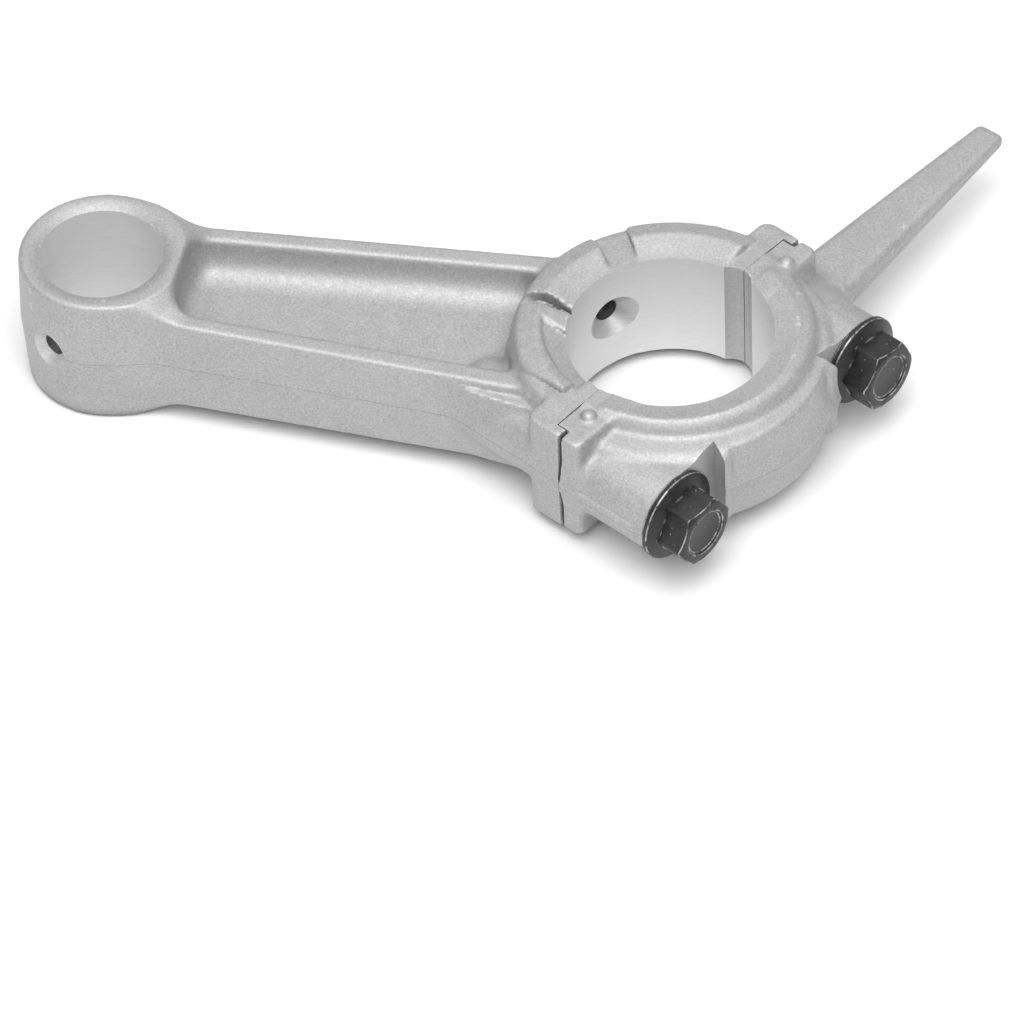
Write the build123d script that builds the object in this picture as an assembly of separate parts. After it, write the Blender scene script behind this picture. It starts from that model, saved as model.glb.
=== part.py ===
"""Split-cap connecting rod of a small single-cylinder engine, with an oil dipper cast on its cap.

Frame: the origin is the centre of the crankpin bore, +Z runs along that bore, and the piston pin
bore lies on the -X side. The cap is split off on a plane that holds the Z axis but is turned, so
the cap's own axis (along its bolts) points SPLIT_ANGLE degrees below +X. Features of the joint are
drawn in that turned frame, where x runs along the bolts and y along the parting line, and are
placed by in_cap_frame. The casting is symmetric about the plane z = 0, so profiles give only its
upper half.
"""
from build123d import *
import math
import os

# driving dimensions, in mm and degrees
CENTRE_DISTANCE = 84.0
CRANKPIN_R = 15.0
PISTON_PIN_R = 9.0
SPLIT_ANGLE = 30.0

# small end
EYE_R = 12.6
EYE_HALF = 11.1
PISTON_BORE_HALF = 10.3
EYE_CHAMFER_R = 10.4
SKIRT_R = 16.0
SMALL_OIL_HOLE_R = 1.35
SMALL_OIL_MOUTH_R = 2.4
SMALL_OIL_ANGLE = 245.0

# beam
BEAM_HALF = 8.0
BEAM_START_X = -79.0
BEAM_END_X = -17.0
BEAM_START_HALF_WIDTH = 10.1
BEAM_END_HALF_WIDTH = 13.9
POCKET_START_X = -73.3
POCKET_START_HALF_WIDTH = 7.5
POCKET_END_X = -16.0
POCKET_END_HALF_WIDTH = 10.4
POCKET_END_R = 23.4
POCKET_FLOOR_Z = 2.5
POCKET_FILLET = 4.0
POCKET_CORNER = 5.0

# big end, rod half
CRANK_BORE_HALF = 9.2
LAND_HALF = 9.0
RING_HALF = 10.0
RING_CREST_R = 18.0
ROD_DISC_R = 24.6
ROD_DISC_TOP_R = 22.6
PAD_FOOT_R = 22.6
PAD_OUTER_R = 20.0
SLOTS = ((115.5, 3.1, 4.3), (173.0, 0.0, 3.6))  # direction, offset of its centre line, width
CRESCENT_ANGLES = (189.0, 228.0)
CRESCENT_R = 17.6
CRESCENT_FLOOR_Z = 8.4
CRANK_OIL_HOLE_R = 1.6
CRANK_OIL_MOUTH_R = 3.6
CRANK_OIL_ANGLE = 135.5
RELIEF_R = 3.2
RELIEF_DEPTH = 0.45

# joint between rod and cap
BOLT_OFFSET = 20.2
EAR_OUTER = 26.2
EAR_BACK = 4.8
LIP_INNER = 24.35
LIP_REACH = 1.7
LIP_GAP = 0.15
BOSS_R = 6.3
ROD_BOSS_DEPTH = 14.5
BOSS_FLANK = 25.7
FLANK_HALF = 6.6
FLANK_START = -17.0

# cap
CAP_TOP_HALF = 7.0
CAP_R = 23.3
CAP_TOP_R = 22.5
CAP_RING_R = 18.7
CAP_RING_FOOT_R = 19.7
CAP_LAND_FRONT = 5.3
BOLT_SEAT = 17.9
CAP_BOSS_R = 6.5

# oil dipper
DIPPER_ROOT = (4.65, 24.7)
DIPPER_TIP = (2.9, 69.4)
DIPPER_ROOT_SIZE = (11.0, 5.0)
DIPPER_TIP_SIZE = (4.7, 2.2)

# M7 flange bolts
BOLT_R = 3.5
BOLT_HOLE_R = 3.56
BOLT_LENGTH = 30.0
BOLT_HOLE_LENGTH = 31.0
FLANGE_R = 7.0
FLANGE_RIM = 1.2
HEX_ACROSS_FLATS = 10.0
HEX_START = 1.6
HEX_TURN = 6.0
HEAD_HEIGHT = 6.6
HEAD_CHAMFER_DROP = 0.9
DISH_R = 3.6
DISH_DEPTH = 0.5

FAR = 60.0  # half the side of a box that is larger than the part near the joint


def in_cap_frame(shape):
    """Turn a shape drawn in the cap's frame into the part's frame."""
    return Rot(0, 0, -SPLIT_ANGLE) * shape


def turned(points, centre_x=0.0):
    """Solid of revolution about Z from the (radius, z) points of its upper half, mirrored in z = 0."""
    outline = [(0, 0)] + list(points)
    half = revolve(Plane.XZ * make_face(Polyline([(r, z) for r, z in outline], close=True)), Axis.Z)
    return Pos(centre_x, 0, 0) * (half + mirror(half, about=Plane.XY))


def plate(points, half_height, draft=0.0):
    """Closed outline extruded both ways from z = 0, narrowing by draft degrees."""
    face = make_face(Polyline(points, close=True))
    half = extrude(face, half_height, taper=draft)
    return half + mirror(half, about=Plane.XY)


def slab(x_range, y_range, half_height):
    """Box between two x and two y values, centred on z = 0."""
    size_x = x_range[1] - x_range[0]
    size_y = y_range[1] - y_range[0]
    middle = Pos((x_range[0] + x_range[1]) / 2, (y_range[0] + y_range[1]) / 2, 0)
    return middle * Box(size_x, size_y, 2 * half_height)


def rod_along_x(radius, start, end, y):
    """Cylinder along x at a given y, from start to end."""
    return Pos((start + end) / 2, y, 0) * Rot(0, 90, 0) * Cylinder(radius, end - start)


def hole_from_axis(radius, mouth_radius, mouth_at, inner, outer, angle, centre_x=0.0):
    """Cutter for a radial drilling whose 90 degree countersink is mouth_radius wide at radius mouth_at."""
    drill = Pos((inner + outer) / 2, 0, 0) * Rot(0, 90, 0) * Cylinder(radius, outer - inner)
    toward = 1 if mouth_at < (inner + outer) / 2 else -1
    widest = mouth_radius + 1
    depth = widest - radius
    sink = Cone(widest, radius, depth) if toward > 0 else Cone(radius, widest, depth)
    sink = Pos(mouth_at + toward * (depth / 2 - 1), 0, 0) * Rot(0, 90, 0) * sink
    return Pos(centre_x, 0, 0) * Rot(0, 0, angle) * (drill + sink)


def beam_half_width(x):
    share = (x - BEAM_START_X) / (BEAM_END_X - BEAM_START_X)
    return BEAM_START_HALF_WIDTH + share * (BEAM_END_HALF_WIDTH - BEAM_START_HALF_WIDTH)


def big_end_bore():
    """Cutter for the crankpin bore, through rod and cap together."""
    return Cylinder(CRANKPIN_R, 2 * FAR)


def small_end():
    eye = turned(
        [(EYE_R, 0), (EYE_R - 0.4, EYE_HALF - 0.7), (EYE_R - 1.1, EYE_HALF), (0, EYE_HALF)],
        -CENTRE_DISTANCE,
    )
    skirt = turned(
        [(SKIRT_R, 0), (SKIRT_R, BEAM_HALF), (EYE_R - 1, EYE_HALF), (0, EYE_HALF)],
        -CENTRE_DISTANCE,
    )
    outline = plate(
        [
            (-CENTRE_DISTANCE, -EYE_R),
            (-60, -beam_half_width(-60)),
            (-60, beam_half_width(-60)),
            (-CENTRE_DISTANCE, EYE_R),
        ],
        EYE_HALF,
        draft=1.5,
    )
    neck = skirt & outline
    return eye + neck


def beam():
    corners = [
        (BEAM_START_X, -BEAM_START_HALF_WIDTH),
        (BEAM_END_X, -BEAM_END_HALF_WIDTH),
        (BEAM_END_X, BEAM_END_HALF_WIDTH),
        (BEAM_START_X, BEAM_START_HALF_WIDTH),
    ]
    return plate(corners, BEAM_HALF, draft=2)


def pocket():
    """Recess of the I-section on the upper side, with a wide fillet around its floor."""
    corners = [
        (POCKET_START_X, -POCKET_START_HALF_WIDTH),
        (POCKET_END_X, -POCKET_END_HALF_WIDTH),
        (POCKET_END_X, POCKET_END_HALF_WIDTH),
        (POCKET_START_X, POCKET_START_HALF_WIDTH),
    ]
    face = make_face(Polyline(corners, close=True))
    face = fillet(face.vertices().sort_by(Axis.X)[:2], POCKET_CORNER)
    recess = extrude(Pos(0, 0, POCKET_FLOOR_Z) * face, BEAM_HALF + 4 - POCKET_FLOOR_Z)
    recess = recess - Cylinder(POCKET_END_R, 2 * FAR)
    floor = recess.faces().sort_by(Axis.Z)[0]
    return fillet(floor.edges(), POCKET_FILLET)


def rod_half_joint():
    """Bosses, ears and locating lips of the rod half, in the cap's frame."""
    parts = []
    for side in (-1, 1):
        parts.append(rod_along_x(BOSS_R, -ROD_BOSS_DEPTH, 0, side * BOLT_OFFSET))
        near, far = sorted((side * 14.0, side * EAR_OUTER))
        parts.append(slab((-EAR_BACK, 0), (near, far), LAND_HALF))
        near, far = sorted((side * LIP_INNER, side * EAR_OUTER))
        parts.append(slab((-EAR_BACK, LIP_REACH), (near, far), LAND_HALF))
    flank = [
        (0, -14),
        (0, -BOSS_FLANK),
        (FLANK_START, -BOSS_FLANK),
        (-24.9, -28.9),
        (-25.9, -27.1),
        (-14.4, -21),
    ]
    parts.append(plate(flank, FLANK_HALF))
    return parts


def rod_half_disc():
    disc = turned([(ROD_DISC_R, 0), (ROD_DISC_R - 0.4, 6.5), (ROD_DISC_TOP_R, LAND_HALF), (0, LAND_HALF)])
    raised = turned(
        [
            (PAD_FOOT_R, 0),
            (PAD_FOOT_R, LAND_HALF),
            (PAD_OUTER_R, RING_HALF),
            (RING_CREST_R, RING_HALF),
            (CRANKPIN_R, CRANK_BORE_HALF),
            (0, CRANK_BORE_HALF),
        ]
    )
    for angle, offset, width in SLOTS:
        slot = slab((CRANKPIN_R - 6, ROD_DISC_R + 3), (offset - width / 2, offset + width / 2), FAR)
        raised = raised - (Rot(0, 0, angle) * slot - turned([(FAR, 0), (FAR, LAND_HALF), (0, LAND_HALF)]))
    near_parting = in_cap_frame(slab((-EAR_BACK, FAR), (-FAR, FAR), FAR))
    over_land = near_parting - turned([(FAR, 0), (FAR, LAND_HALF), (0, LAND_HALF)])
    disc = disc + (raised - over_land)
    first, last = [math.radians(angle) for angle in CRESCENT_ANGLES]
    reach = 2 * CRESCENT_R
    wedge = make_face(
        Polyline(
            (0, 0),
            (reach * math.cos(first), reach * math.sin(first)),
            (reach * math.cos(last), reach * math.sin(last)),
            close=True,
        )
    )
    recess = extrude(wedge, RING_HALF + 1) & Cylinder(CRESCENT_R, 4 * RING_HALF)
    recess = recess - Cylinder(FAR, 2 * CRESCENT_FLOOR_Z)
    return disc - recess - mirror(recess, about=Plane.XY)


def make_rod_body():
    rod_side = in_cap_frame(slab((-FAR, 0), (-FAR, FAR), FAR))
    body = beam() + small_end()
    upper_pocket = pocket()
    body = body - upper_pocket - mirror(upper_pocket, about=Plane.XY)
    body = body + (rod_half_disc() & rod_side)
    for piece in rod_half_joint():
        body = body + in_cap_frame(piece)
    body = body - big_end_bore()
    body = body - Pos(-CENTRE_DISTANCE, 0, 0) * Cylinder(PISTON_PIN_R, 2 * FAR)
    mouth_depth = EYE_HALF - PISTON_BORE_HALF
    mouth = Cone(PISTON_PIN_R, EYE_CHAMFER_R, mouth_depth)
    upper_mouth = Pos(-CENTRE_DISTANCE, 0, EYE_HALF - mouth_depth / 2) * mouth
    body = body - upper_mouth - mirror(upper_mouth, about=Plane.XY)
    body = body - hole_from_axis(
        SMALL_OIL_HOLE_R, SMALL_OIL_MOUTH_R, EYE_R - 0.2, 5, EYE_R + 2, SMALL_OIL_ANGLE, -CENTRE_DISTANCE
    )
    body = body - hole_from_axis(
        CRANK_OIL_HOLE_R, CRANK_OIL_MOUTH_R, CRANKPIN_R, CRANKPIN_R - 4, ROD_DISC_R + 6, CRANK_OIL_ANGLE
    )
    for side in (-1, 1):
        hole = rod_along_x(BOLT_HOLE_R, BOLT_SEAT - BOLT_HOLE_LENGTH, 1, side * BOLT_OFFSET)
        body = body - in_cap_frame(hole)
        relief = Pos(-1.0, side * (CRANKPIN_R - RELIEF_R + RELIEF_DEPTH), 0) * Cylinder(RELIEF_R, 2 * FAR)
        body = body - in_cap_frame(relief)
    return body


def dipper():
    """Tapered flat blade that flings oil, cast with the cap, in the cap's frame."""
    root = Vector(*DIPPER_ROOT)
    tip = Vector(*DIPPER_TIP)
    along = (tip - root).normalized()
    start = Plane(origin=root, x_dir=(along.Y, -along.X, 0), z_dir=along)
    end = Plane(origin=tip, x_dir=(along.Y, -along.X, 0), z_dir=along)
    sections = [
        start * RectangleRounded(DIPPER_ROOT_SIZE[0], DIPPER_ROOT_SIZE[1], 0.42 * DIPPER_ROOT_SIZE[1]),
        end * RectangleRounded(DIPPER_TIP_SIZE[0], DIPPER_TIP_SIZE[1], 0.42 * DIPPER_TIP_SIZE[1]),
    ]
    return loft(sections)


def make_cap():
    """The cap in its own frame, turned into place at the end."""
    cap_side = slab((0, FAR), (-FAR, FAR), FAR)
    disc = turned([(CAP_R, 0), (CAP_TOP_R, CAP_TOP_HALF), (0, CAP_TOP_HALF)])
    ring = turned(
        [
            (CAP_RING_FOOT_R, 0),
            (CAP_RING_FOOT_R, CAP_TOP_HALF),
            (CAP_RING_R, RING_HALF - 0.2),
            (RING_CREST_R - 0.4, RING_HALF - 0.2),
            (CRANKPIN_R, CRANK_BORE_HALF),
            (0, CRANK_BORE_HALF),
        ]
    )
    over_land = slab((-FAR, CAP_LAND_FRONT - 2.2), (-FAR, FAR), FAR)
    over_land = over_land - turned([(FAR, 0), (FAR, LAND_HALF), (0, LAND_HALF)])
    cap = (disc & cap_side) + ((ring - over_land) & cap_side)
    for side in (-1, 1):
        cap = cap + rod_along_x(CAP_BOSS_R, 0, BOLT_SEAT, side * BOLT_OFFSET)
        inner, outer = sorted((side * 10.0, side * BOLT_OFFSET))
        cap = cap + slab((0, BOLT_SEAT), (inner, outer), CAP_BOSS_R)
        inner, outer = sorted((side * 13.0, side * EAR_OUTER))
        cap = cap + slab((0, CAP_LAND_FRONT), (inner, outer), LAND_HALF)
    cap = cap + dipper()
    for side in (-1, 1):
        inner, outer = sorted((side * 10.5, side * FAR))
        cap = cap - slab((BOLT_SEAT, FAR), (inner, outer), FAR)
        inner, outer = sorted((side * (LIP_INNER - LIP_GAP), side * (EAR_OUTER + 4 * LIP_GAP)))
        cap = cap - slab((-1, LIP_REACH + LIP_GAP), (inner, outer), LAND_HALF + 3)
        cap = cap - rod_along_x(BOLT_HOLE_R, -1, BOLT_SEAT + 1, side * BOLT_OFFSET)
    cap = cap - big_end_bore()
    return in_cap_frame(cap)


def make_bolt(side):
    """Flange bolt: shank, washer-like flange, hexagon with a chamfered and dished top."""
    shank = rod_along_x(BOLT_R, -BOLT_LENGTH, 0.5, 0)
    apothem = HEX_ACROSS_FLATS / 2
    flange_profile = [
        (0, 0),
        (FLANGE_R, 0),
        (FLANGE_R, FLANGE_RIM),
        (apothem * 1.02, FLANGE_RIM + 0.9),
        (0, FLANGE_RIM + 0.9),
    ]
    flange = revolve(Plane.XZ * make_face(Polyline(flange_profile, close=True)), Axis.Z)
    hexagon = Rot(0, 0, HEX_TURN) * RegularPolygon(apothem, 6, major_radius=False)
    prism = extrude(Pos(0, 0, HEX_START) * hexagon, HEAD_HEIGHT - HEX_START)
    corner_r = apothem / math.cos(math.pi / 6)
    envelope_profile = [
        (0, 0),
        (corner_r + 1, 0),
        (corner_r + 1, HEAD_HEIGHT - HEAD_CHAMFER_DROP - 0.5),
        (apothem * 0.94, HEAD_HEIGHT),
        (0, HEAD_HEIGHT),
    ]
    envelope = revolve(Plane.XZ * make_face(Polyline(envelope_profile, close=True)), Axis.Z)
    dish = Pos(0, 0, HEAD_HEIGHT - DISH_DEPTH / 2) * Cone(DISH_R - 0.8, DISH_R, DISH_DEPTH)
    head = flange + (prism & envelope) - dish
    bolt = shank + Rot(0, 90, 0) * head
    return in_cap_frame(Pos(BOLT_SEAT, side * BOLT_OFFSET, 0) * bolt)


nodes = {
    "rod_body": make_rod_body(),
    "cap": make_cap(),
    "near_bolt": make_bolt(-1),
    "far_bolt": make_bolt(1),
}

os.makedirs("parts", exist_ok=True)
for name, shape in nodes.items():
    shape.label = name
    export_step(shape, os.path.join("parts", name + ".step"))
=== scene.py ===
"""Looks of a split-cap connecting rod: two aluminium castings and two black flange bolts.

Each casting is described in millimetres by a signed distance function, negative inside the metal,
so that its ribs, bosses and walls run into each other with the soft fillets of a die casting. The
function is sampled on a grid and skinned. The bores, seats, oil holes and the parting faces are
then cut into it with sharp tools, as they are on the real part. z = 0 is the mould's parting plane.
"""
import math
import bpy
import numpy as np
from mathutils import Matrix, Vector


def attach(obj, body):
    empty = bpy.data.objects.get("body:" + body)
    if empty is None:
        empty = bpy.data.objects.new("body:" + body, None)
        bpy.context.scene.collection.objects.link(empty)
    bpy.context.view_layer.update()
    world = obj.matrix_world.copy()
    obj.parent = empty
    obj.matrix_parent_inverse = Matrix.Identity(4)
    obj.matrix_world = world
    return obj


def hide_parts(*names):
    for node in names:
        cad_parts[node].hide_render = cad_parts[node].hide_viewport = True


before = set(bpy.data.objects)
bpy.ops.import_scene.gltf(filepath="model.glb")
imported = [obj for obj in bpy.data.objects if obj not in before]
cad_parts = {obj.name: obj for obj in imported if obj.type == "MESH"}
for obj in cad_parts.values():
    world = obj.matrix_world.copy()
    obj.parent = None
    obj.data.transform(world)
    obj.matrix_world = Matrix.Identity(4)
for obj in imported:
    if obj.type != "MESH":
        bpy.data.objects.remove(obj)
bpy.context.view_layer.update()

MM = 0.001

# sizes in millimetres, angles in degrees; a slope is millimetres sideways or up for each millimetre
# along, and a cosine belongs to the slope beside it and keeps the distance true on a slanted wall
CENTRES = 84.0
CRANK_R = 15.0
PIN_R = 9.0
SPLIT = 30.0
CELL = 0.4
NEAR = -1
FAR = 1
CORE_LEFT = 1.2
LIFT = 0.02

# small end
EYE_TOP = 11.08
EYE_R = 12.5
EYE_DRAFT = 0.045
CONE_TOP = 11.5
CONE_R = 11.9
CONE_SLOPE = 0.85
CONE_COSINE = 0.8
PIN_FACE = 10.33
MOUTH_SLOPE = 0.55
MOUTH_COSINE = 0.88

# beam and its pocket
BEAM_TOP = 8.04
BEAM_FALL = 0.009
BEAM_MIDDLE = -50
BEAM_END = -12
BEAM_HALF_WIDTH = 12.1
BEAM_FLARE = 0.064
BEAM_DRAFT = 0.03
POCKET_FLOOR = 2.5
POCKET_START = -72.3
POCKET_START_DRAFT = 0.12
POCKET_END_R = 23.3
POCKET_END_DRAFT = 0.1
POCKET_HALF_WIDTH = 7.8
POCKET_WIDTH_AT = -67
POCKET_FLARE = 0.0551
POCKET_DRAFT = 0.05
POCKET_FILLET = 4.6

# rod half of the big end
LAND = 9.15
DISC_R = 22.5
DISC_RIM_Z = 9
DISC_DRAFT = 0.24
DISC_COSINE = 0.97
ROD_BOSS = {FAR: (6.25, 14.2, 3.0, 2.5), NEAR: (6.2, 21.5, 5.0, 1.2)}  # radius, depth, end, fillet
FLANK = [(-14.4, -21), (-25.9, -27.1), (-25.5, -29.0), (-16.0, -25.8), (4, -25.8), (4, -14)]
FLANK_TOP = 6.55
FLANK_FALL = 0.05
FLANK_TOP_V = -25
EAR_V = {NEAR: 26.1, FAR: 26.5}
EAR_INNER_V = 20.1
ROD_EAR_BACK = 4.7
PAST_JOINT = 6

# raised pads round the bore
PAD_R = 22.45
PAD_RISE = 0.274
PAD_RIDGE_R = 19.3
PAD_RIDGE = 10.35
PAD_FALL = 0.25
PAD_END_U = {NEAR: 3.2, FAR: 2.6}
PAD_END_SLOPE = 0.25
PAD_END_COSINE = 0.95
PAD_NEAR_V = -19.3
GROOVE_NEAR_Y = 1.3
GROOVE_NEAR_FLARE = 0.06
GROOVE_FAR_Y = 2.1
GROOVE_FAR_FLARE = 0.42
GROOVE_FAR_COSINE = 0.9
GROOVE_WIDEST_Y = 3.6
GROOVE_FLOOR = 7.8
GROOVE_FLOOR_RISE = 0.12
SLOT_TURN = 115.5
SLOT_START = 0.95
SLOT_END = 4.9
SLOT_FLARE = 0.18
HOLLOW_R = 18.4
HOLLOW_TURN = 183.7
HOLLOW_NARROWS = 0.0245  # for each degree past HOLLOW_TURN
HOLLOW_FLOOR = 8.3
HOLLOW_SLOPE = 0.42
HOLLOW_COSINE = 0.9
HOLLOW_START = (-18.36, -1.19)
HOLLOW_START_FACES = (0.351, 0.937)
HOLLOW_END_U = -2.7

# cap
CAP_R = 23.4
CAP_DRAFT = 0.07
CAP_TOP = 7.5
CAP_TOP_FALL = 0.2
CAP_TOP_R = 20.3
RING_R = 19.55
RING_V = 1.0
RING_RIM_Z = 9.3
RING_SLOPE = 0.5
RING_COSINE = 0.9
RING_RISE = 0.2
RING_RIDGE_R = 18.4
RING_RIDGE = 9.85
RING_FALL = 0.3
RING_END_U = 2.6
CAP_BOSS_R = 6.4
CAP_BLOCK_V = 11.0
CAP_BLOCK_TOP = 6.35
CAP_EAR_FRONT = 5.3
CAP_EAR_INNER_V = 13
NUB_UV = {NEAR: (2.4, 20.3), FAR: (3.6, 21.3)}
NUB_R = 1.15
NUB_SUNK = 0.15
BAND_END_U = 16.4
BAND_HALF = 1.0
BAND_PROUD = 6.75
BAND_INNER_V = 24
SEAT_U = 17.9
SEAT_WALL_V = 11.2
SEAT_WALL_SLOPE = 0.36

# oil dipper, from its root to its tip
DIPPER_ROOT = (4.65, 24.7)
DIPPER_TIP = (2.9, 69.3)
DIPPER_HALF_WIDTH = (5.5, 3.2)  # at the root, and what it loses by the tip
DIPPER_HALF_THICK = (2.5, 1.4)
DIPPER_EDGE = 0.85

# joint between rod and cap
LIP_V = {NEAR: 24.35, FAR: 24.95}
LIP_U = 1.7
LIP_SLIT = 0.45
LIP_GAP = 0.12
JOINT_GAP = 0.14
RELIEF = {FAR: (3.28, 1.05), NEAR: (6.1, 0.35)}  # radius, depth

# bolts
BOLT_V = 20.2
PITCH = 1.0
BOLT_LENGTH = 30.0
THREAD_START = 9.5
THREAD_CREST = 3.47
THREAD_ROOT = 2.9
TAPPED_CREST = 3.6
TAPPED_ROOT = 3.03
HOLE_END = 30.6
CAP_HOLE_R = 3.62
HEX_FLATS = 9.7
HEAD_HEIGHT = 6.25
BOLT_TURN = {NEAR: 5, FAR: -7}

# oil holes
CRANK_OIL_R = 1.8
CRANK_OIL_MOUTH = 3.6
CRANK_OIL_TURN = 135.5
SMALL_OIL_R = 1.7
SMALL_OIL_MOUTH = 3.1
SMALL_OIL_TURN = 241.5
SMALL_OIL_Z = 0.4

COS = math.cos(math.radians(SPLIT))
SIN = math.sin(math.radians(SPLIT))
CAP_AXIS = (COS, -SIN, 0)
ORIGIN = (0, 0, 0)
UP = (0, 0, 1)


# ---- distance field tools -------------------------------------------------------------------

def blend_min(a, b, k):
    """Union with a fillet about k wide."""
    h = np.maximum(k - np.abs(a - b), 0) / k
    return np.minimum(a, b) - h * h * k / 4


def blend_max(a, b, k):
    """Intersection with its edge rounded about k wide."""
    return -blend_min(-a, -b, k)


def cut(a, b, k):
    """a with b taken away, the edge rounded about k wide."""
    return blend_max(a, -b, k)


def box2(x, y, x_low, x_high, y_low, y_high):
    """Distance to an upright rectangle, exact outside its edges."""
    dx = np.abs(x - (x_low + x_high) / 2) - (x_high - x_low) / 2
    dy = np.abs(y - (y_low + y_high) / 2) - (y_high - y_low) / 2
    outside = np.hypot(np.maximum(dx, 0), np.maximum(dy, 0))
    return outside + np.minimum(np.maximum(dx, dy), 0)


def across(x, y, angle):
    """Signed distance to the left of the line through the origin that runs at angle."""
    a = math.radians(angle)
    return y * math.cos(a) - x * math.sin(a)


def polygon(x, y, corners, k):
    """Convex outline, counterclockwise, with its corners rounded about k wide."""
    d = None
    for (ax, ay), (bx, by) in zip(corners, corners[1:] + corners[:1]):
        length = math.hypot(bx - ax, by - ay)
        side = ((x - ax) * (by - ay) - (y - ay) * (bx - ax)) / length
        d = side if d is None else blend_max(d, side, k)
    return d


def to_cap(x, y):
    """Part frame to the cap's frame: u along the bolts, v along the parting line."""
    return COS * x - SIN * y, SIN * x + COS * y


def skin(shape, low, high, cell):
    """Vertices and quads on the zero surface of shape, which is the same for z and -z."""
    counts = [int((high[i] - low[i]) / cell) + 2 for i in range(2)]
    layers = int(high[2] / cell) + 2
    xs = low[0] + cell * np.arange(counts[0])
    ys = low[1] + cell * np.arange(counts[1])
    zs = cell * (np.arange(layers) + 0.5)
    x, y, z = np.meshgrid(xs, ys, zs, indexing="ij")
    half = shape(x, y, z)
    field = np.concatenate([half[:, :, ::-1], half], axis=2)
    origin = np.array([xs[0], ys[0], -zs[-1]])

    cells = np.array(field.shape) - 1
    total = int(np.prod(cells))
    sums = np.zeros((total, 3))
    hits = np.zeros(total)
    crossings = []
    for axis in range(3):
        lower = [slice(None)] * 3
        upper = [slice(None)] * 3
        lower[axis] = slice(0, -1)
        upper[axis] = slice(1, None)
        a = field[tuple(lower)]
        b = field[tuple(upper)]
        where = np.argwhere((a < 0) != (b < 0))
        va = a[tuple(where.T)]
        vb = b[tuple(where.T)]
        point = where.astype(float)
        point[:, axis] += va / (va - vb)
        others = [(axis + 1) % 3, (axis + 2) % 3]
        corners = []
        for step in ((-1, -1), (0, -1), (0, 0), (-1, 0)):
            cell_of = where.copy()
            cell_of[:, others[0]] += step[0]
            cell_of[:, others[1]] += step[1]
            flat = np.ravel_multi_index(tuple(cell_of.T), tuple(cells))
            hits += np.bincount(flat, minlength=total)
            for i in range(3):
                sums[:, i] += np.bincount(flat, weights=point[:, i], minlength=total)
            corners.append(flat)
        quads = np.stack(corners, axis=1)
        quads[va > 0] = quads[va > 0][:, ::-1]
        crossings.append(quads)
    used = np.flatnonzero(hits)
    number = np.zeros(total, int)
    number[used] = np.arange(len(used))
    points = origin + cell * sums[used] / hits[used, None]
    quads = number[np.concatenate(crossings)]
    for _ in range(2):
        points = settle(shape, relax(points, quads), cell)
    return points, quads


def relax(points, quads):
    """Moves each point half way to the middle of its neighbours, which evens out the quads."""
    starts = quads.ravel()
    ends = np.roll(quads, -1, axis=1).ravel()
    counts = np.bincount(starts, minlength=len(points))
    sums = [np.bincount(starts, weights=points[ends, i], minlength=len(points)) for i in range(3)]
    return 0.5 * points + 0.5 * np.stack(sums, axis=1) / counts[:, None]


def settle(shape, points, cell):
    """Moves points onto the zero surface along the distance field's slope."""
    step = 0.02
    for _ in range(3):
        x, y, z = points.T
        value = shape(x, y, np.abs(z))
        slope = np.stack(
            [
                shape(x + step, y, np.abs(z)) - value,
                shape(x, y + step, np.abs(z)) - value,
                shape(x, y, np.abs(z + step)) - value,
            ],
            axis=1,
        ) / step
        steep = np.maximum((slope**2).sum(1), 0.25)
        move = slope * (value / steep)[:, None]
        points = points - np.clip(move, -0.4 * cell, 0.4 * cell)
    return points


# ---- the rod's casting ----------------------------------------------------------------------

def eye_and_beam(x, y, z):
    """Small end and beam, whose top is a cone that runs down from the eye to the beam."""
    from_pin = np.hypot(x + CENTRES, y)
    half_width = BEAM_HALF_WIDTH + BEAM_FLARE * (x - BEAM_MIDDLE) - BEAM_DRAFT * z
    beam = np.maximum(np.abs(y) - half_width, np.maximum(-(x + CENTRES), x - BEAM_END))
    eye = from_pin - (EYE_R - EYE_DRAFT * z)
    outline = blend_min(eye, beam, 3.6)
    beam_top = BEAM_TOP - BEAM_FALL * (x - BEAM_MIDDLE)
    cone = CONE_TOP - CONE_SLOPE * (from_pin - CONE_R)
    top = np.minimum(blend_max(cone, beam_top, 1.6), EYE_TOP)
    body = blend_max(outline, CONE_COSINE * (z - top), 0.8)
    mouth = PIN_FACE + MOUTH_SLOPE * (from_pin - PIN_R)
    return blend_max(body, MOUTH_COSINE * (z - mouth), 0.4)


def beam_pocket(x, y, z):
    """Pocket of the I-section, on both sides, with a deep fillet round its floor."""
    up = z - BEAM_TOP
    half_width = POCKET_HALF_WIDTH + POCKET_FLARE * (x - POCKET_WIDTH_AT) + POCKET_DRAFT * up
    pocket = blend_max(np.abs(y) - half_width, POCKET_FLOOR - z, POCKET_FILLET)
    pocket = blend_max(pocket, -(x - POCKET_START - POCKET_START_DRAFT * up), POCKET_FILLET)
    return blend_max(pocket, POCKET_END_R - np.hypot(x, y) + POCKET_END_DRAFT * up, 2.0)


def disc_wall(r, z, radius):
    """Distance outside the big end's drafted wall, which has the given radius at DISC_RIM_Z."""
    return DISC_COSINE * (r - radius - DISC_DRAFT * (DISC_RIM_Z - z))


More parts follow.
